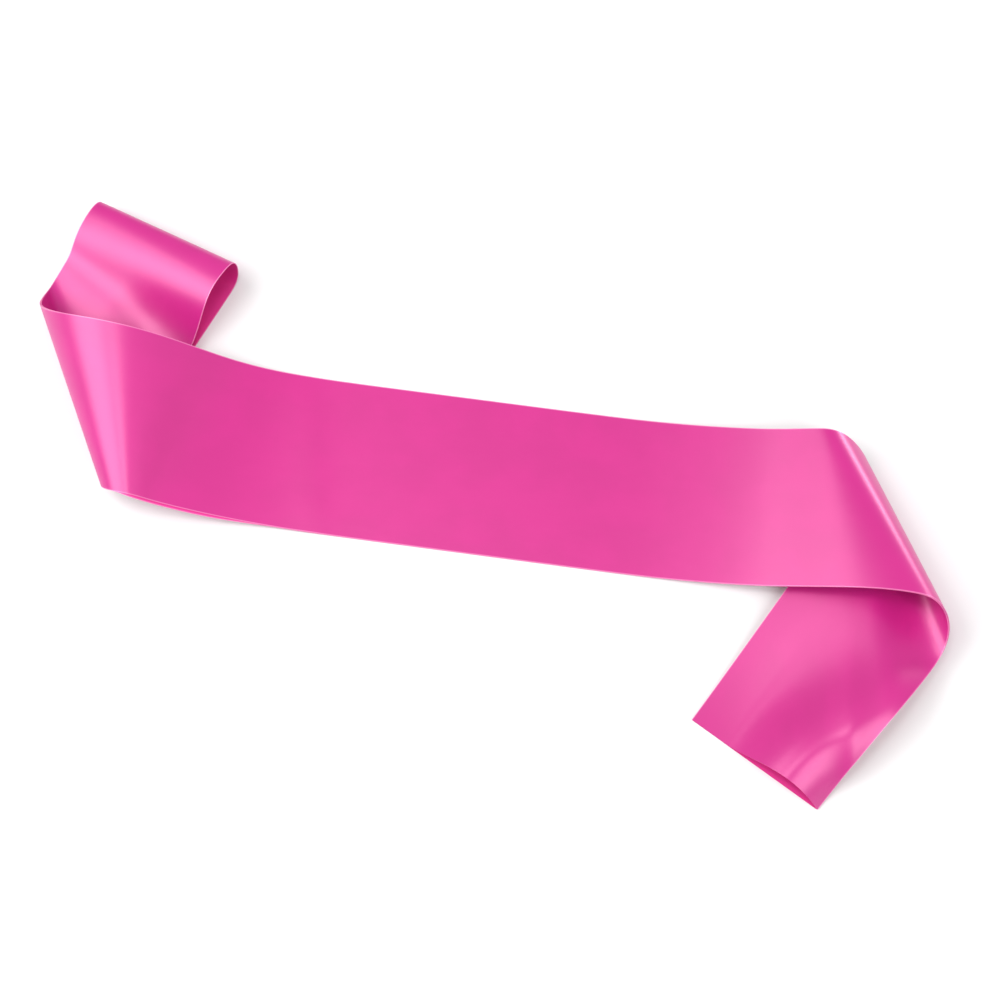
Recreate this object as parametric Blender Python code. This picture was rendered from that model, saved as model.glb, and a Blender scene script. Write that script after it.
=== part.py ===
"""Satin sash, one long strip doubled end to end and laid down in a zigzag.

The two layers run together. They start at the round end where the strip is doubled, turn
over at a slanting fold on the left, cross the middle as a flat band, turn under at a slanting
fold on the right, and finish at the two cut ends.

The shape is worked out from the flat cloth. Each table row is a straight fold line across the
flat strip, given by where it meets the strip's two long edges, with how sharply the cloth
bends there. Turning the cloth about each line in order lays it out in space with its lengths
kept. Lengths are in millimetres and angles in degrees until the meshes are made.
"""

import bpy
import numpy as np

MM = 0.001

SASH_WIDTH = 100.0
WALL = 1.0
LAYER_GAP = 0.3
SEAM_GAP = 0.3
SETTLE = 2.0
MIDDLE_HEIGHT = WALL + LAYER_GAP / 2

LINES_PER_ROW = 10
CELLS_ACROSS = 6

BAND_TURN = -7.9
BAND_X = -17.2
BAND_Y = 15.8

TAIL_LIFT = 17.0
TAIL_LIFT_START = 330.0
TAIL_END = 455.0
TAIL_DRAW_START = 316.0
TAIL_DRAW_UPPER = 1.5
TAIL_DRAW_LOWER = 8.5

LOOP_FOOT_UPPER = -396.4
LOOP_FOOT_LOWER = -396.1
LOOP_FULLNESS = 0.45
LOOP_LINES = 18

# Fold lines. The columns are upper edge, lower edge and bend.
RIGHT_FOLDS = [
    (0, 0, 0),
    (80, 93, 6),
    (176, 180, 23),
    (212, 238, -16),
    (217, 283, -51),
    (231, 291, -29),
    (260, 308, -37),
    (265, 334, -64),
    (271, 367, -11),
    (312, 421, 0),
    (455, 455, 0),
]

LEFT_FOLDS = [
    (0, 0, 0),
    (-106, -101, 10),
    (-154, -189, 33),
    (-199, -200, -17),
    (-246, -209, -52),
    (-280, -222, -35),
    (-304, -229, -28),
    (-314, -236, -15),
    (-332, -243, -29),
    (-342, -256, -37),
    (-352, -308, -11),
]

LOOP_FRONT = [
    (-352, -308, 0),
    (-359, -343, -39),
    (-366, -365, -9),
    (-378, -382, 28),
    (-396, -394, 34),
    (-403, -408, -15),
]

LOOP_BACK = [
    (-352, -308, 0),
    (LOOP_FOOT_UPPER, LOOP_FOOT_LOWER, 0),
]

UNDER_SPLIT_LEFT = 6
BAND_SPLIT_LEFT = 9
UNDER_SPLIT_RIGHT = 1
BAND_SPLIT_RIGHT = 8

SATIN_PINK = (0.80, 0.065, 0.33, 1.0)
SATIN_ROUGHNESS = 0.34


def hinge(point, direction, angle):
    """The 4 by 4 turn by an angle about a line in the flat cloth."""
    x, y, z = direction / np.linalg.norm(direction)
    cross = np.array([[0, -z, y], [z, 0, -x], [-y, x, 0]])
    turn = np.eye(4)
    turn[:3, :3] += np.sin(angle) * cross + (1 - np.cos(angle)) * cross @ cross
    turn[:3, 3] = point - turn[:3, :3] @ point
    return turn


def band_frame():
    """Where the middle of the band lies, turned a little on the table."""
    angle = np.radians(BAND_TURN)
    frame = np.eye(4)
    frame[:2, 0] = (np.cos(angle), np.sin(angle))
    frame[:2, 1] = (-np.sin(angle), np.cos(angle))
    frame[:3, 3] = (BAND_X, BAND_Y, MIDDLE_HEIGHT - SETTLE)
    return frame


def drawn_in(along, share):
    """How far the tail's edges come in where its upper layer arches."""
    part = np.clip((along - TAIL_DRAW_START) / (TAIL_END - TAIL_DRAW_START), 0, 1)
    part = part * (0.5 + part * (1.5 - part))
    return part * (TAIL_DRAW_LOWER * (1 - share) - TAIL_DRAW_UPPER * share)


def lay(rows, frame):
    """Points, normals and distances along the cloth on each fold line, and the last frame.

    The first index is the fold line, the second runs from the lower edge to the upper one.
    """
    share = np.linspace(0, 1, CELLS_ACROSS + 1)
    side = np.sign(rows[-1][0])
    upper, lower, frames = [rows[0][0]], [rows[0][1]], [frame]
    for first, last in zip(rows, rows[1:]):
        for line in range(LINES_PER_ROW):
            there = (line + 0.5) / LINES_PER_ROW
            at_upper, at_lower, bend = (a + (b - a) * there for a, b in zip(first, last))
            start = np.array([at_lower, -SASH_WIDTH / 2, 0.0])
            across = np.array([at_upper - at_lower, SASH_WIDTH, 0.0])
            frame = frame @ hinge(start, across, -side * np.radians(bend) / LINES_PER_ROW)
            done = (line + 1) / LINES_PER_ROW
            upper.append(first[0] + (last[0] - first[0]) * done)
            lower.append(first[1] + (last[1] - first[1]) * done)
            frames.append(frame)
    upper, lower, frames = np.array(upper), np.array(lower), np.array(frames)
    along = lower[:, None] * (1 - share) + upper[:, None] * share
    over = (share - 0.5) * SASH_WIDTH + drawn_in(along, share)
    flat = np.stack([along, over, 0 * along, 0 * along + 1], axis=-1)
    points = np.einsum("kij,ksj->ksi", frames, flat)[..., :3]
    normals = np.repeat(frames[:, None, :3, 2], len(share), axis=1)
    return points, normals, along, frame


def settled(points):
    """The same points with the cloth resting softly on the table."""
    height = points[..., 2] - (MIDDLE_HEIGHT - SETTLE)
    soft = np.clip(height, 0, 2 * SETTLE)
    points = points.copy()
    points[..., 2] = MIDDLE_HEIGHT + soft * soft / (4 * SETTLE) + np.maximum(height - 2 * SETTLE, 0)
    return points


def facing(points, like):
    """Unit normals of a grid of points, on the side that the vector like points to at its start."""
    normals = np.cross(np.gradient(points, axis=0), np.gradient(points, axis=1))
    normals /= np.linalg.norm(normals, axis=-1, keepdims=True)
    return normals * np.sign(np.dot(normals[0, 0], like))


def round_end(front, front_heading, back, back_heading):
    """The round end of the loop, a smooth curve from the front layer's edge to the back one's."""
    there = np.linspace(0, 1, LOOP_LINES + 1)[1:-1, None, None]
    reach = np.linalg.norm(back - front, axis=-1, keepdims=True) * 2 * LOOP_FULLNESS
    return (
        (2 * there**3 - 3 * there**2 + 1) * front
        + (there**3 - 2 * there**2 + there) * reach * front_heading
        + (3 * there**2 - 2 * there**3) * back
        - (there**3 - there**2) * reach * back_heading
    )


def arched(points, along):
    """The tail's upper layer, lifted towards its cut end so that the ends part like lips."""
    share = np.linspace(0, 1, CELLS_ACROSS + 1)
    part = np.clip((along - TAIL_LIFT_START) / (TAIL_END - TAIL_LIFT_START), 0, 1)
    rise = part * part * (3 - 2 * part) * 6.75 * share * (1 - share) ** 2
    points = points.copy()
    points[..., 2] += TAIL_LIFT * rise
    return points


def cut_back(points, first, last):
    """Moves a stretch's first or last line in by half the gap that a seam keeps."""
    points = points.copy()
    for wanted, end, inner in ((first, 0, 1), (last, -1, -2)):
        if wanted:
            step = points[inner] - points[end]
            step /= np.linalg.norm(step, axis=-1, keepdims=True)
            points[end] += step * SEAM_GAP / 2
    return points


def satin():
    """A plain satin material."""
    material = bpy.data.materials.new("satin")
    material.use_nodes = True
    shader = material.node_tree.nodes["Principled BSDF"]
    shader.inputs["Base Color"].default_value = SATIN_PINK
    shader.inputs["Roughness"].default_value = SATIN_ROUGHNESS
    shader.inputs["Metallic"].default_value = 0.0
    return material


def cloth(name, points, side, material, parent):
    """A layer of cloth as a sheet, thickened away from the middle surface."""
    lines, across = points.shape[:2]
    near = points + side * LAYER_GAP / 2
    mesh = bpy.data.meshes.new(name)
    corner = np.arange(lines * across).reshape(lines, across)
    quads = np.stack([corner[:-1, :-1], corner[1:, :-1], corner[1:, 1:], corner[:-1, 1:]], axis=-1).reshape(-1, 4)
    if np.dot(np.cross(near[1, 0] - near[0, 0], near[0, 1] - near[0, 0]), side[0, 0]) < 0:
        quads = quads[:, ::-1]
    mesh.from_pydata((near.reshape(-1, 3) * MM).tolist(), [], quads.tolist())
    mesh.materials.append(material)
    mesh.shade_smooth()
    piece = bpy.data.objects.new(name, mesh)
    piece.parent = parent
    bpy.context.collection.objects.link(piece)
    wall = piece.modifiers.new("Wall", "SOLIDIFY")
    wall.thickness = WALL * MM
    wall.offset = 1.0
    wall.use_even_offset = True
    return piece


def main():
    for old in list(bpy.data.objects):
        bpy.data.objects.remove(old, do_unlink=True)

    frame = band_frame()
    right, right_normals, right_along, _ = lay(RIGHT_FOLDS, frame)
    left, left_normals, _, left_frame = lay(LEFT_FOLDS, frame)
    front, _, _, front_frame = lay(LOOP_FRONT, left_frame)
    back, _, _, _ = lay(LOOP_BACK, left_frame)
    end = round_end(front[-1], -front_frame[:3, 0], back[-1], -left_frame[:3, 0])

    n = LINES_PER_ROW
    under_left, band_left = UNDER_SPLIT_LEFT * n, BAND_SPLIT_LEFT * n
    under_right, band_right = UNDER_SPLIT_RIGHT * n, BAND_SPLIT_RIGHT * n

    band = np.concatenate([left[band_left:0:-1], right[: band_right + 1]])
    under = np.concatenate([left[under_left:0:-1], right[: under_right + 1]])
    loop = np.concatenate([left[under_left:], front[1:], end, back[:0:-1], left[:band_left - 1:-1]])

    band = settled(cut_back(band, True, True))
    under = settled(cut_back(under, True, True))
    loop = settled(cut_back(loop, True, True))
    tail = arched(settled(cut_back(right[under_right:], True, False)), right_along[under_right:])
    tail_under = settled(cut_back(right[band_right:], True, False))

    holder = bpy.data.objects.new("sash", None)
    bpy.context.collection.objects.link(holder)
    material = satin()
    stretches = [
        ("end_loop", loop, facing(loop, -left_normals[under_left, 0])),
        ("band", band, facing(band, left_normals[band_left, 0])),
        ("band_under", under, facing(under, -left_normals[under_left, 0])),
        ("tail", tail, facing(tail, -right_normals[under_right, 0])),
        ("tail_under", tail_under, facing(tail_under, right_normals[band_right, 0])),
    ]
    everything = np.concatenate([(p + s * MIDDLE_HEIGHT).reshape(-1, 3) for _, p, s in stretches])
    centre = (everything.min(axis=0) + everything.max(axis=0)) / 2
    centre[2] = 0.0
    for name, points, side in stretches:
        cloth(name, points - centre, side, material, holder)


main()
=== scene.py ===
"""A satin sash, doubled end to end and laid down in a zigzag: its cloth, its finish and its set.

The sash is one thin strip. Its path runs from the upper cut end over the tail, round the right
fold, back under the band, round the left fold, up the front of the loop, round the loop's end,
down its back, through the left fold, along the top of the band, over the right fold and under
the tail to the lower cut end.

Lengths of cloth are in millimetres and angles in degrees until the mesh is made. "Share" is the
place across the strip, from 0 at its lower edge to 1 at its upper one. "Along" is the distance
along the flat strip, from the middle of the band where the cloth is laid out, and from the first
cut end where the mesh is made.
"""

from math import cos, radians, sin

import bpy
import numpy as np
from bpy.props import FloatProperty, FloatVectorProperty, IntProperty, PointerProperty
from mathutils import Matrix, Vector


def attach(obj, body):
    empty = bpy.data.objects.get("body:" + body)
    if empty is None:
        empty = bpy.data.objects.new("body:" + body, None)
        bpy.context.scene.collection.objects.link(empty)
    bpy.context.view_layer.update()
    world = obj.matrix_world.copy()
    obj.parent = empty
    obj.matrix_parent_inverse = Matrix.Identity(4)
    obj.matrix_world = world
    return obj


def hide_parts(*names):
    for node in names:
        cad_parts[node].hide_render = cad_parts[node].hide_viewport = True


bl_info = {
    "name": "Satin sash",
    "version": (1, 0, 0),
    "blender": (4, 5, 0),
    "location": "3D View > Sidebar > Sash",
    "description": "A folded satin sash with its finish and a plain studio set",
    "category": "Object",
}

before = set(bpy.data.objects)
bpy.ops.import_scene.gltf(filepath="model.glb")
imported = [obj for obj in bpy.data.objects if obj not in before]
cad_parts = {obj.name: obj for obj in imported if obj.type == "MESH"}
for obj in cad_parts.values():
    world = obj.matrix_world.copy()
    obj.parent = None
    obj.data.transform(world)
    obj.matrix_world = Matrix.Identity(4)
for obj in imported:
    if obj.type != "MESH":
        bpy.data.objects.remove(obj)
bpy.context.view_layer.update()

MM = 0.001

SASH_WIDTH = 100.0
LAYER_GAP = 0.3
WALL = 0.4
LAYER_HEIGHT = WALL + LAYER_GAP / 2
SETTLE = 2.0

# How the band is turned, where its middle lies and where the middle of the whole plan lies, from
# the point on the table that the camera looks at.
BAND_TURN = -7.9
BAND_X = -17.2
BAND_Y = 15.8
PLAN_X = -9.75
PLAN_Y = 2.18

# Between two rows of a table, the lines turn the cloth by no more than this on average, and
# there are never fewer of them than this.
MOST_TURN = 4.0
FEWEST_LINES = 3

# Straight fold lines across the flat cloth. The columns are upper edge, lower edge and bend.
RIGHT_FOLDS = [
    (0, 0, 0),
    (80, 93, 6),
    (176, 180, 23),
    (212, 238, -16),
    (217, 283, -51),
    (231, 291, -29),
    (260, 308, -37),
    (265, 334, -64),
    (271, 367, -11),
    (312, 421, 0),
    (455, 455, 0),
]

LEFT_FOLDS = [
    (0, 0, 0),
    (-106, -101, 10),
    (-154, -189, 33),
    (-199, -200, -17),
    (-246, -209, -52),
    (-280, -222, -35),
    (-304, -229, -28),
    (-314, -236, -15),
    (-332, -243, -29),
    (-342, -256, -37),
    (-352, -308, -11),
]

LOOP_FRONT = [
    (-352, -308, 0),
    (-359, -343, -39),
    (-366, -365, -9),
    (-378, -382, 28),
    (-396, -394, 34),
    (-403, -408, -15),
]

LOOP_BACK = [
    (-352, -308, 0),
    (-396.4, -396.1, 0),
]

# The round end of the loop: how full its curve is, and in how many cells.
LOOP_FULLNESS = 0.45
LOOP_CELLS = 28

# The under layer slips out past the band's lower edge by this much. It comes in over the first
# range along the strip and goes out over the second.
SLIP = 1.7
SLIP_STARTS = (-216.0, -204.0)
SLIP_ENDS = (-165.0, -110.0)

# The mouth at the cut ends. The tail's upper layer is lifted in an arch that reaches this share
# of the way across, and the edges of both layers are drawn in. The power leans the arch towards
# the lower edge, and the peak is what its formula comes to at its highest.
TAIL_END = 455.0
MOUTH_LIFT = 17.0
MOUTH_START = 355.0
MOUTH_SHARE = 0.74
ARCH_POWER = 1.8
ARCH_PEAK = 0.161
DRAW_START = 316.0
DRAW_UPPER = 1.5
DRAW_LOWER = 8.5

# The stand of the tail's upper layer off the lower one: its height, and how far it leans to the
# left and the front for each millimetre up. It rises and sinks between these distances along
# the strip. Near the fold the upper edge is held down by a share of it, up to where it is free.
STAND = 21.0
STAND_LEAN = (-0.14, -0.25)
STAND_RISES = (276.0, 338.0)
STAND_SINKS = (305.0, TAIL_END)
STAND_HELD = 0.8
STAND_FREE = (310.0, 375.0)

# Soft creases on the table plan. The columns are stretch, start x and y, end x and y, half
# width on the left and on the right as seen from the start, and rise.
CREASES = [
    ("tail", 272.0, -116.0, 172.0, -172.0, 20.0, 26.0, 4.2),
    ("tail", 278.0, -106.0, 240.0, -112.0, 7.0, 7.0, -1.0),
    ("loop", -275.0, 171.0, -224.0, 120.0, 17.0, 15.0, 3.5),
    ("band", -112.0, 84.0, -104.0, -26.0, 9.0, 16.0, 0.6),
]

# A crease comes in and goes out over these shares of its length. The band's creases end, and
# the tail's start, at this distance along the strip. The loop's reach this many lines back
# into the left fold and this many on round the end.
CREASE_COMES = (-0.1, 0.25)
CREASE_GOES = (0.8, 1.2)
TAIL_STARTS = 300.0
LINES_BEFORE_LOOP = 32
LINES_AFTER_LOOP = 20

# How far each bend is spread along the strip.
SOFTNESS = 4.5

# The pale line along each edge, partly the sealed edge's own paler colour and partly a painted
# highlight of the edge catching light: how much of the edge's colour it has, and how many metres from
# the edge it is full and gone.
EDGE_AND_HIGHLIGHT_SHARE = 0.5
EDGE_AND_HIGHLIGHT_FULL = 0.0002
EDGE_AND_HIGHLIGHT_GONE = 0.0007

# The pattern of the satin in cells per metre, along and across the strip.
GRAIN = (60.0, 1500.0, 1.0)
RIPPLE = (30.0, 90.0, 1.0)
CLOUD = 28.0

# The darker pink of the clouds as a part of the pink, where a cloud starts and is full, and how
# much of the darker pink it then has.
DEEPER = 0.86
CLOUD_EDGE = (0.35, 0.65)
CLOUD_SHARE = 0.35

# How far the grain moves the roughness, what share of the tinted gloss the dull side lacks, and
# the clear gloss and the soft sheen over both sides.
GRAIN_ROUGHNESS = 0.06
DULL_LACKS = 0.7
CLEAR_GLOSS = 0.85
SHEEN = 0.02
SHEEN_PINK = (1.0, 0.55, 0.78, 1.0)

# The fine relief: how much of the grain is in it beside the ripple, its strength and its depth
# in metres.
GRAIN_RELIEF = 0.25
RELIEF_STRENGTH = 0.25
RELIEF_DEPTH = 0.0002

# Faces that meet at more than this angle keep a sharp line between them.
SHARP_ANGLE = 60.0

# The lights. The columns are name, place from the point that the camera looks at, and size, in
# metres.
LIGHTS = [
    ("overhead", (-0.2, -0.12, 1.85), (0.4, 0.4)),
    ("back", (-0.95, 0.64, 1.52), (0.5, 0.5)),
    ("left", (-1.2, -0.1, 1.24), (1.1, 1.6)),
    ("right", (1.05, 1.0, 0.22), (0.5, 0.35)),
    ("front", (1.03, -0.86, 1.12), (0.6, 1.6)),
]

# Half the floor's side and how far it lies under the cloth, in metres, then its look.
FLOOR_HALF = 6.0
FLOOR_DROP = 0.0002
FLOOR_GREY = (0.80, 0.80, 0.80, 1)
FLOOR_PALE_GREY = (0.82, 0.82, 0.82, 1)
FLOOR_FLECKS = 3.0
FLOOR_ROUGHNESS = 0.9
FLOOR_GLOSS = 0.1

SENSOR_WIDTH = 36.0


class SashCloth(bpy.types.PropertyGroup):
    wall: FloatProperty(
        name="Wall", description="Thickness of the satin", default=WALL * MM, unit="LENGTH"
    )
    step: FloatProperty(
        name="Step", description="Longest cell along the strip", default=0.0026, unit="LENGTH"
    )
    across: IntProperty(name="Cells across", description="Cells from edge to edge", default=40, min=8)


class SashFinish(bpy.types.PropertyGroup):
    pink: FloatVectorProperty(
        name="Pink",
        description="Colour of the shiny side",
        subtype="COLOR",
        size=4,
        default=(0.56, 0.010, 0.22, 1),
    )
    dull_pink: FloatVectorProperty(
        name="Dull pink",
        description="Colour of the dull side",
        subtype="COLOR",
        size=4,
        default=(0.70, 0.008, 0.25, 1),
    )
    # The pale edge colour is partly the sealed edge's own colour and partly a painted highlight of
    # the edge catching light.
    edge_and_highlight_pink: FloatVectorProperty(
        name="Edge pink",
        description="Colour of the sealed edge",
        subtype="COLOR",
        size=4,
        default=(0.93, 0.32, 0.60, 1),
    )
    roughness: FloatProperty(
        name="Roughness", description="Of the shiny side", default=0.36, subtype="FACTOR"
    )
    dull_roughness: FloatProperty(
        name="Dull roughness", description="Of the dull side", default=0.6, subtype="FACTOR"
    )
    metal: FloatProperty(
        name="Tinted gloss",
        description="Share of gloss in the cloth's colour",
        default=0.12,
        subtype="FACTOR",
    )


class SashSet(bpy.types.PropertyGroup):
    lens: FloatProperty(name="Lens", description="Focal length on a 36 mm sensor", default=91.03)
    distance: FloatProperty(
        name="Distance", description="From the camera to the table", default=1.547, unit="LENGTH"
    )
    elevation: FloatProperty(
        name="Elevation",
        description="Camera above the table",
        default=radians(71.1),
        subtype="ANGLE",
    )
    overhead: FloatProperty(name="Overhead light", description="Power", default=6.0, unit="POWER")
    back: FloatProperty(name="Back light", description="Power", default=3.0, unit="POWER")
    left: FloatProperty(name="Left light", description="Power", default=25.0, unit="POWER")
    right: FloatProperty(name="Right light", description="Power", default=7.0, unit="POWER")
    front: FloatProperty(name="Front light", description="Power", default=14.0, unit="POWER")
    room: FloatProperty(name="Room light", description="Strength of the even light", default=0.5)


class SashSettings(bpy.types.PropertyGroup):
    cloth: PointerProperty(type=SashCloth)
    finish: PointerProperty(type=SashFinish)
    studio: PointerProperty(type=SashSet)


def hinge(point, direction, angle):
    """The 4 by 4 turn by an angle about a line in the flat cloth."""
    x, y, z = direction / np.linalg.norm(direction)
    cross = np.array([[0, -z, y], [z, 0, -x], [-y, x, 0]])
    turn = np.eye(4)
    turn[:3, :3] += np.sin(angle) * cross + (1 - np.cos(angle)) * cross @ cross
    turn[:3, 3] = point - turn[:3, :3] @ point
    return turn


def band_place():
    """Where the middle of the band lies, turned a little on the table."""
    angle = radians(BAND_TURN)
    place = np.eye(4)
    place[:2, 0] = (cos(angle), sin(angle))
    place[:2, 1] = (-sin(angle), cos(angle))
    place[:3, 3] = (BAND_X, BAND_Y, LAYER_HEIGHT - SETTLE)
    return place


def smooth(value, low, high):
    """0 below low, 1 above high, and a smooth step between them."""
    part = np.clip((value - low) / (high - low), 0, 1)
    return part * part * (3 - 2 * part)


def drawn_in(along, share):
    """How far the tail's edges come in where its upper layer arches."""
    part = np.clip((along - DRAW_START) / (TAIL_END - DRAW_START), 0, 1)
    part = part * (0.5 + part * (1.5 - part))
    return part * (DRAW_LOWER * (1 - share) - DRAW_UPPER * share)


def slipped(along, share):
    """How far the under layer's lower edge moves out past the band's."""
    window = smooth(along, *SLIP_STARTS) * (1 - smooth(along, *SLIP_ENDS))
    return -SLIP * window * (1 - share) ** 2


def lay(rows, place, share, step, slip=False):
    """Points and distances along the cloth on every fold line, and the last frame.

    The lines between two rows are spaced so that no cell is longer than step. The first index
    is the line, the second runs from the lower edge to the upper one.
    """
    side = np.sign(rows[-1][0])
    upper, lower, places = [rows[0][0]], [rows[0][1]], [place]
    for first, last in zip(rows, rows[1:]):
        longest = max(abs(last[0] - first[0]), abs(last[1] - first[1]))
        turn = (abs(first[2]) + abs(last[2])) / 2
        lines = int(max(np.ceil(longest / step), np.ceil(turn / MOST_TURN), FEWEST_LINES))
        for line in range(lines):
            there = (line + 0.5) / lines
            at_upper, at_lower, bend = (a + (b - a) * there for a, b in zip(first, last))
            start = np.array([at_lower, -SASH_WIDTH / 2, 0.0])
            over = np.array([at_upper - at_lower, SASH_WIDTH, 0.0])
            place = place @ hinge(start, over, -side * radians(bend) / lines)
            done = (line + 1) / lines
            upper.append(first[0] + (last[0] - first[0]) * done)
            lower.append(first[1] + (last[1] - first[1]) * done)
            places.append(place)
    upper, lower, places = np.array(upper), np.array(lower), np.array(places)
    along = lower[:, None] * (1 - share) + upper[:, None] * share
    over = (share - 0.5) * SASH_WIDTH + drawn_in(along, share)
    if slip:
        over = over + slipped(along, share)
    flat = np.stack([along, over, 0 * along, 0 * along + 1], axis=-1)
    return np.einsum("kij,ksj->ksi", places, flat)[..., :3], along, place


def settled(points):
    """The same points with the cloth resting softly on the table."""
    height = points[..., 2] - (LAYER_HEIGHT - SETTLE)
    soft = np.clip(height, 0, 2 * SETTLE)
    points = points.copy()
    points[..., 2] = LAYER_HEIGHT + soft * soft / (4 * SETTLE) + np.maximum(height - 2 * SETTLE, 0)
    return points


def round_end(front, front_heading, back, back_heading):
    """The loop's round end, a smooth curve from the front layer's edge to the back one's."""
    there = np.linspace(0, 1, LOOP_CELLS + 1)[1:-1, None, None]
    reach = np.linalg.norm(back - front, axis=-1, keepdims=True) * 2 * LOOP_FULLNESS
    return (
        (2 * there**3 - 3 * there**2 + 1) * front
        + (there**3 - 2 * there**2 + there) * reach * front_heading
        + (3 * there**2 - 2 * there**3) * back
        - (there**3 - there**2) * reach * back_heading
    )


def arched(points, along, share):
    """The tail's upper layer, lifted towards its cut end so that the ends part like lips."""
    across = np.clip(share / MOUTH_SHARE, 0, 1)
    rise = smooth(along, MOUTH_START, TAIL_END) * across * (1 - across) ** ARCH_POWER / ARCH_PEAK
    points = points.copy()
    points[..., 2] += MOUTH_LIFT * rise
    return points


def standing(points, along, share):
    """The tail's upper layer, standing off the lower one at the fold and sinking to the cut end."""
    line = along.mean(axis=1, keepdims=True)
    part = smooth(line, *STAND_RISES) * (1 - smooth(line, *STAND_SINKS))
    part = part * (1 - STAND_HELD * share**3 * (1 - smooth(line, *STAND_FREE)))
    lift = STAND * part
    return points + lift[..., None] * (*STAND_LEAN, 1.0)


def creased(points, stretch):
    """The same points with the soft ridges and troughs of the crease table.

    Each has its rise times exp(-(d / w)^2), where d is the distance from its line on the plan
    and w its half width on that side, and fades out towards both of the line's ends.
    """
    points = points.copy()
    plan = points[..., :2] - (PLAN_X, PLAN_Y)
    for name, start_x, start_y, end_x, end_y, left_width, right_width, rise in CREASES:
        first, last = stretch[name]
        start, line = np.array([start_x, start_y]), np.array([end_x - start_x, end_y - start_y])
        away = plan[first:last] - start
        there = away @ line / (line @ line)
        off = (away[..., 0] * line[1] - away[..., 1] * line[0]) / np.hypot(*line)
        off = off / np.where(off > 0, right_width, left_width)
        fade = smooth(there, *CREASE_COMES) * (1 - smooth(there, *CREASE_GOES))
        points[first:last, :, 2] += rise * fade * np.exp(-off * off)
    return points


def softened(points):
    """The same points with every bend spread along the strip.

    Each point moves to the mean of the points within the softness of it along the strip, on its
    own lengthwise line. Near a cut end that reach shrinks to what is left of the strip.
    """
    steps = np.linalg.norm(np.diff(points, axis=0), axis=-1)
    way = np.concatenate([np.zeros((1, points.shape[1])), np.cumsum(steps, axis=0)])
    pieces = steps[..., None] * (points[1:] + points[:-1]) / 2
    sums = np.concatenate([np.zeros((1, *points.shape[1:])), np.cumsum(pieces, axis=0)])
    soft = points.copy()
    for column in range(points.shape[1]):
        place = way[:, column]
        half = np.minimum(np.minimum(place, place[-1] - place), SOFTNESS)[1:-1]
        for axis in range(3):
            table = sums[:, column, axis]
            ahead = np.interp(place[1:-1] + half, place, table)
            behind = np.interp(place[1:-1] - half, place, table)
            soft[1:-1, column, axis] = (ahead - behind) / (2 * half)
    return soft


def strip_middle(share, step):
    """The middle surface of the whole strip, from one cut end to the other."""
    place = band_place()
    right, along, _ = lay(RIGHT_FOLDS, place, share, step)
    left, _, left_place = lay(LEFT_FOLDS, place, share, step)
    left_under, _, _ = lay(LEFT_FOLDS, place, share, step, slip=True)
    front, _, front_place = lay(LOOP_FRONT, left_place, share, step)
    back, _, _ = lay(LOOP_BACK, left_place, share, step)
    end = round_end(front[-1], -front_place[:3, 0], back[-1], -left_place[:3, 0])
    loop = settled(np.concatenate([left_under[1:], front[1:], end, back[:0:-1], left[:0:-1]]))
    tail = standing(arched(settled(right), along, share), along, share)
    before_tail = int(np.searchsorted(along[:, 0], TAIL_STARTS))
    top_layer = len(right) + len(loop)
    front_start = len(right) + len(left) - 1
    stretch = {
        "tail": (0, len(right) - before_tail),
        "loop": (front_start - LINES_BEFORE_LOOP, front_start + len(front) + LINES_AFTER_LOOP),
        "band": (top_layer - len(left) + 1, top_layer + before_tail),
    }
    strip = creased(np.concatenate([tail[::-1], loop, settled(right)]), stretch)
    return softened(softened(strip))


def outward(points):
    """Unit normals on the strip's shiny side."""
    normals = np.cross(np.gradient(points, axis=0), np.gradient(points, axis=1))
    normals /= np.linalg.norm(normals, axis=-1, keepdims=True)
    return normals * np.sign(normals[0, 0, 2])


def distance_along(points):
    """Distance along the strip's middle from the first line, in the points' unit."""
    middle = points[:, points.shape[1] // 2]
    steps = np.linalg.norm(np.diff(middle, axis=0), axis=-1)
    return np.concatenate([[0.0], np.cumsum(steps)])


def closed_sheet(name, outer, inner, along, over):
    """A mesh with a shiny grid, a dull grid under it and a rim between them.

    The map "cloth" holds metres along and across the strip, and "inside" is 1 on the dull grid.
    """
    lines, across = outer.shape[:2]
    count = lines * across
    corner = np.arange(count).reshape(lines, across)
    top = np.stack([corner[:-1, :-1], corner[:-1, 1:], corner[1:, 1:], corner[1:, :-1]], axis=-1)
    top = top.reshape(-1, 4)
    rim = np.concatenate([corner[0], corner[1:, -1], corner[-1, -2::-1], corner[-2:0:-1, 0]])
    after = np.roll(rim, -1)
    edge = np.stack([rim, after, after + count, rim + count], axis=-1)
    facing = np.cross(outer[0, 1] - outer[0, 0], outer[1, 0] - outer[0, 0])
    if facing @ (outer[0, 0] - inner[0, 0]) < 0:
        top = top[:, ::-1]
    else:
        edge = edge[:, ::-1]
    quads = np.concatenate([top, top[:, ::-1] + count, edge])
    points = np.concatenate([outer.reshape(-1, 3), inner.reshape(-1, 3)]) * MM
    mesh = bpy.data.meshes.new(name)
    mesh.from_pydata(points.tolist(), [], quads.tolist())
    flat = np.stack(np.broadcast_arrays(along[:, None], over[None, :]), axis=-1).reshape(-1, 2) * MM
    flat = np.concatenate([flat, flat])
    layer = mesh.uv_layers.new(name="cloth")
    layer.data.foreach_set("uv", flat[quads.reshape(-1)].astype(np.float32).reshape(-1))
    inside = mesh.attributes.new("inside", "FLOAT", "POINT")
    inside.data.foreach_set("value", np.repeat([0.0, 1.0], count).astype(np.float32))
    mesh.shade_smooth()
    mesh.set_sharp_from_angle(angle=radians(SHARP_ANGLE))
    piece = bpy.data.objects.new(name, mesh)
    bpy.context.collection.objects.link(piece)
    return piece


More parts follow.
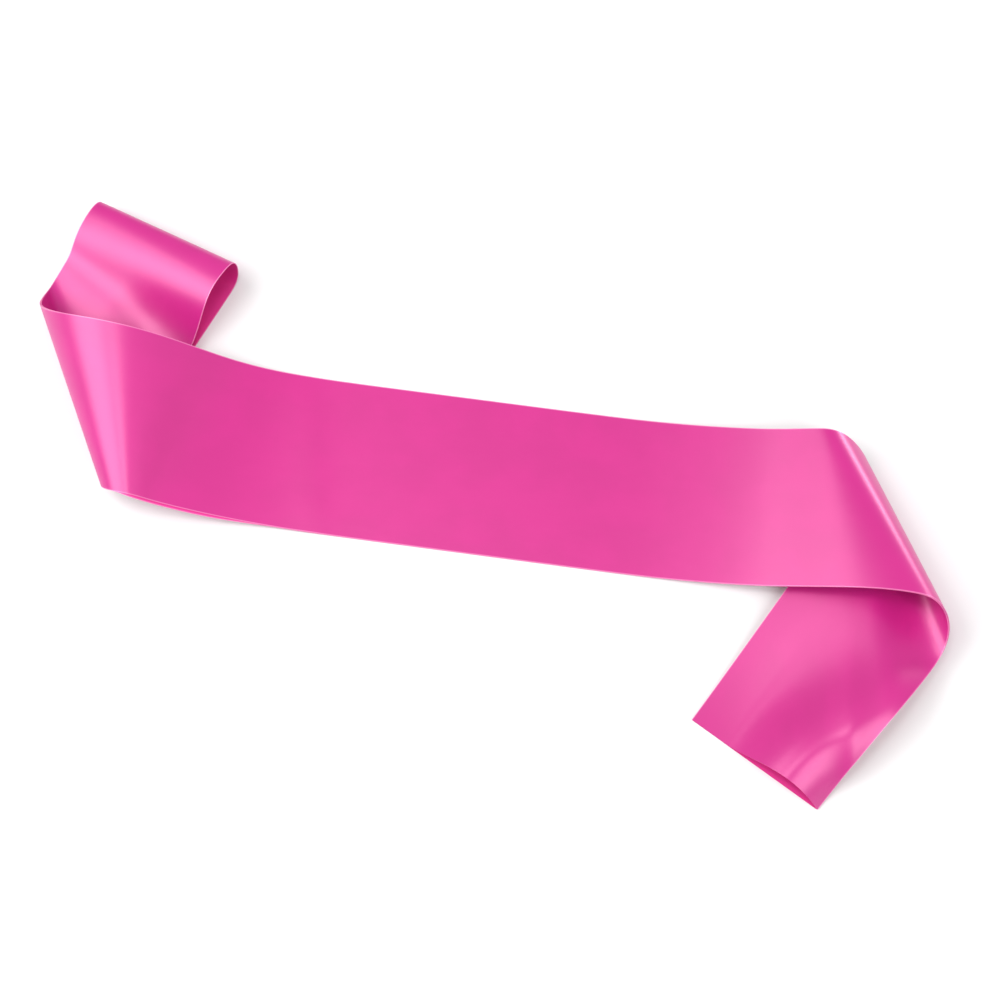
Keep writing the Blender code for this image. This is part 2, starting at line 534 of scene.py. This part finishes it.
class Wire:
    """A shader socket that can be used in Python maths."""

    def __init__(self, nodes, socket):
        self.nodes, self.socket = nodes, socket

    def _maths(self, operation, first, second):
        return self.nodes.add("ShaderNodeMath", {"operation": operation}, first, second)

    def __add__(self, other):
        return self._maths("ADD", self, other)

    def __radd__(self, other):
        return self._maths("ADD", other, self)

    def __sub__(self, other):
        return self._maths("SUBTRACT", self, other)

    def __rsub__(self, other):
        return self._maths("SUBTRACT", other, self)

    def __mul__(self, other):
        return self._maths("MULTIPLY", self, other)


class Nodes:
    """The node tree of one material."""

    def __init__(self, name):
        self.material = bpy.data.materials.new(name)
        self.material.use_nodes = True
        self.tree = self.material.node_tree
        self.shader = self.tree.nodes["Principled BSDF"]

    def add(self, kind, settings, *values, output=0, **named):
        """A node of a type, its settings set first, then the values or links of its sockets."""
        node = self.tree.nodes.new(kind)
        for name, value in settings.items():
            setattr(node, name, value)
        for key, value in list(enumerate(values)) + list(named.items()):
            self.put(node.inputs[key], value)
        return Wire(self, node.outputs[output])

    def put(self, socket, value):
        if isinstance(value, Wire):
            self.tree.links.new(value.socket, socket)
        else:
            socket.default_value = value

    def blend(self, factor, first, second):
        """A colour between two others."""
        node = self.tree.nodes.new("ShaderNodeMix")
        node.data_type = "RGBA"
        for key, value in ((0, factor), (6, first), (7, second)):
            self.put(node.inputs[key], value)
        return Wire(self, node.outputs[2])

    def steps(self, value, low, high):
        """A smooth step from 0 at low to 1 at high."""
        settings = {"interpolation_type": "SMOOTHSTEP"}
        return self.add("ShaderNodeMapRange", settings, value, low, high, 0.0, 1.0)


def satin(finish):
    """Hot pink satin, shiny outside and dull inside, with a fine lengthwise grain and pale edges that
    are partly their own colour and partly painted highlight.
    """
    nodes = Nodes("satin")
    cloth_map = nodes.add("ShaderNodeUVMap", {"uv_map": "cloth"})
    inside = nodes.add("ShaderNodeAttribute", {"attribute_name": "inside"}, output=2)
    over = nodes.add("ShaderNodeSeparateXYZ", {}, cloth_map, output=1)
    from_middle = nodes.add("ShaderNodeMath", {"operation": "ABSOLUTE"}, over)
    half = SASH_WIDTH / 2 * MM
    # The pale edge line: partly the sealed edge's own colour and partly a painted highlight of the
    # edge catching light.
    edge = nodes.steps(from_middle, half - EDGE_AND_HIGHLIGHT_GONE, half - EDGE_AND_HIGHLIGHT_FULL)

    grain_map = nodes.add("ShaderNodeMapping", {}, cloth_map, Scale=GRAIN)
    grain = nodes.add("ShaderNodeTexNoise", {}, Vector=grain_map, Scale=1.0, Detail=2.0)
    cloud = nodes.add("ShaderNodeTexNoise", {}, Vector=cloth_map, Scale=CLOUD, Detail=3.0)
    ripple_map = nodes.add("ShaderNodeMapping", {}, cloth_map, Scale=RIPPLE)
    ripple = nodes.add("ShaderNodeTexNoise", {}, Vector=ripple_map, Scale=1.0, Detail=1.0)

    deep = tuple(c * DEEPER for c in finish.pink[:3]) + (1.0,)
    clouded = nodes.steps(cloud, *CLOUD_EDGE) * CLOUD_SHARE
    shiny = nodes.blend(clouded, tuple(finish.pink), deep)
    colour = nodes.blend(inside, shiny, tuple(finish.dull_pink))
    # Paints the pale edge line, partly a painted edge highlight, into the colour.
    colour = nodes.blend(edge * EDGE_AND_HIGHLIGHT_SHARE, colour, tuple(finish.edge_and_highlight_pink))
    nodes.put(nodes.shader.inputs["Base Color"], colour)

    rough = finish.roughness + (grain - 0.5) * GRAIN_ROUGHNESS
    rough = rough + inside * (finish.dull_roughness - finish.roughness)
    nodes.put(nodes.shader.inputs["Roughness"], rough)
    nodes.put(nodes.shader.inputs["Metallic"], (1 - inside * DULL_LACKS) * finish.metal)
    nodes.put(nodes.shader.inputs["Specular IOR Level"], CLEAR_GLOSS)
    nodes.put(nodes.shader.inputs["Sheen Weight"], SHEEN)
    nodes.put(nodes.shader.inputs["Sheen Tint"], SHEEN_PINK)

    height = grain * GRAIN_RELIEF + ripple
    depth = {"Strength": RELIEF_STRENGTH, "Distance": RELIEF_DEPTH}
    nodes.put(nodes.shader.inputs["Normal"], nodes.add("ShaderNodeBump", {}, Height=height, **depth))
    return nodes.material


def table_top():
    """A plain pale floor."""
    nodes = Nodes("pale_floor")
    fleck = nodes.add("ShaderNodeTexNoise", {}, Scale=FLOOR_FLECKS, Detail=1.0)
    nodes.put(nodes.shader.inputs["Base Color"], nodes.blend(fleck, FLOOR_GREY, FLOOR_PALE_GREY))
    nodes.put(nodes.shader.inputs["Roughness"], FLOOR_ROUGHNESS)
    nodes.put(nodes.shader.inputs["Specular IOR Level"], FLOOR_GLOSS)
    return nodes.material


class SASH_OT_strip(bpy.types.Operator):
    bl_idname = "sash.strip"
    bl_label = "Satin strip"

    def execute(self, context):
        cloth, finish = context.scene.satin_sash.cloth, context.scene.satin_sash.finish
        share = np.linspace(0, 1, cloth.across + 1)
        middle = strip_middle(share, cloth.step / MM)
        side = outward(middle)
        middle = middle - np.array([PLAN_X, PLAN_Y, 0.0])
        outer = middle + side * LAYER_HEIGHT
        inner = middle + side * (LAYER_HEIGHT - cloth.wall / MM)
        along = distance_along(middle)
        over = (share - 0.5) * SASH_WIDTH
        strip = closed_sheet("satin_strip", outer, inner, along, over)
        strip.data.materials.append(satin(finish))
        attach(strip, "root")
        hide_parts("end_loop", "band", "band_under", "tail", "tail_under")
        return {"FINISHED"}


class SASH_OT_set(bpy.types.Operator):
    """Sets the pale floor, the soft lights and the camera."""

    bl_idname = "sash.set"
    bl_label = "Studio set"

    def execute(self, context):
        studio = context.scene.satin_sash.studio
        mesh = bpy.data.meshes.new("floor")
        corners = [(-1, -1), (1, -1), (1, 1), (-1, 1)]
        floor_points = [(x * FLOOR_HALF, y * FLOOR_HALF, -FLOOR_DROP) for x, y in corners]
        mesh.from_pydata(floor_points, [], [(0, 1, 2, 3)])
        floor = bpy.data.objects.new("floor", mesh)
        floor.data.materials.append(table_top())
        context.collection.objects.link(floor)

        target = Vector((-PLAN_X * MM, -PLAN_Y * MM, 0.0))
        for name, place, size in LIGHTS:
            self.light(name, target, place, size, getattr(studio, name))

        world = context.scene.world or bpy.data.worlds.new("room")
        context.scene.world = world
        world.use_nodes = True
        room = world.node_tree.nodes["Background"]
        room.inputs["Color"].default_value = (1, 1, 1, 1)
        room.inputs["Strength"].default_value = studio.room
        context.scene.view_settings.view_transform = "Standard"

        camera = bpy.data.objects.new("camera", bpy.data.cameras.new("camera"))
        camera.data.lens, camera.data.sensor_width = studio.lens, SENSOR_WIDTH
        heading = Vector((0, -cos(studio.elevation), sin(studio.elevation)))
        camera.location = target + studio.distance * heading
        camera.rotation_euler = (radians(90) - studio.elevation, 0, 0)
        context.collection.objects.link(camera)
        context.scene.camera = camera
        return {"FINISHED"}

    def light(self, name, target, place, size, power):
        """A soft rectangular light that faces the sash."""
        lamp = bpy.data.lights.new(name, "AREA")
        lamp.shape, lamp.size, lamp.size_y, lamp.energy = "RECTANGLE", *size, power
        holder = bpy.data.objects.new(name, lamp)
        holder.location = target + Vector(place)
        holder.rotation_euler = (-Vector(place)).to_track_quat("-Z", "Y").to_euler()
        bpy.context.collection.objects.link(holder)


class SASH_PT_panel(bpy.types.Panel):
    bl_idname = "SASH_PT_panel"
    bl_label = "Satin sash"
    bl_space_type = "VIEW_3D"
    bl_region_type = "UI"
    bl_category = "Sash"

    def draw(self, context):
        settings = context.scene.satin_sash
        for group, operator in (("cloth", "sash.strip"), ("finish", ""), ("studio", "sash.set")):
            box = self.layout.box()
            values = getattr(settings, group)
            for name in values.__annotations__:
                box.prop(values, name)
            if operator:
                box.operator(operator)


CLASSES = (SashCloth, SashFinish, SashSet, SashSettings, SASH_OT_strip, SASH_OT_set, SASH_PT_panel)


def register():
    for each in CLASSES:
        bpy.utils.register_class(each)
    bpy.types.Scene.satin_sash = PointerProperty(type=SashSettings)


def unregister():
    del bpy.types.Scene.satin_sash
    for each in reversed(CLASSES):
        bpy.utils.unregister_class(each)


def main():
    register()
    bpy.ops.sash.set()
    bpy.ops.sash.strip()


if __name__ == "__main__":
    main()
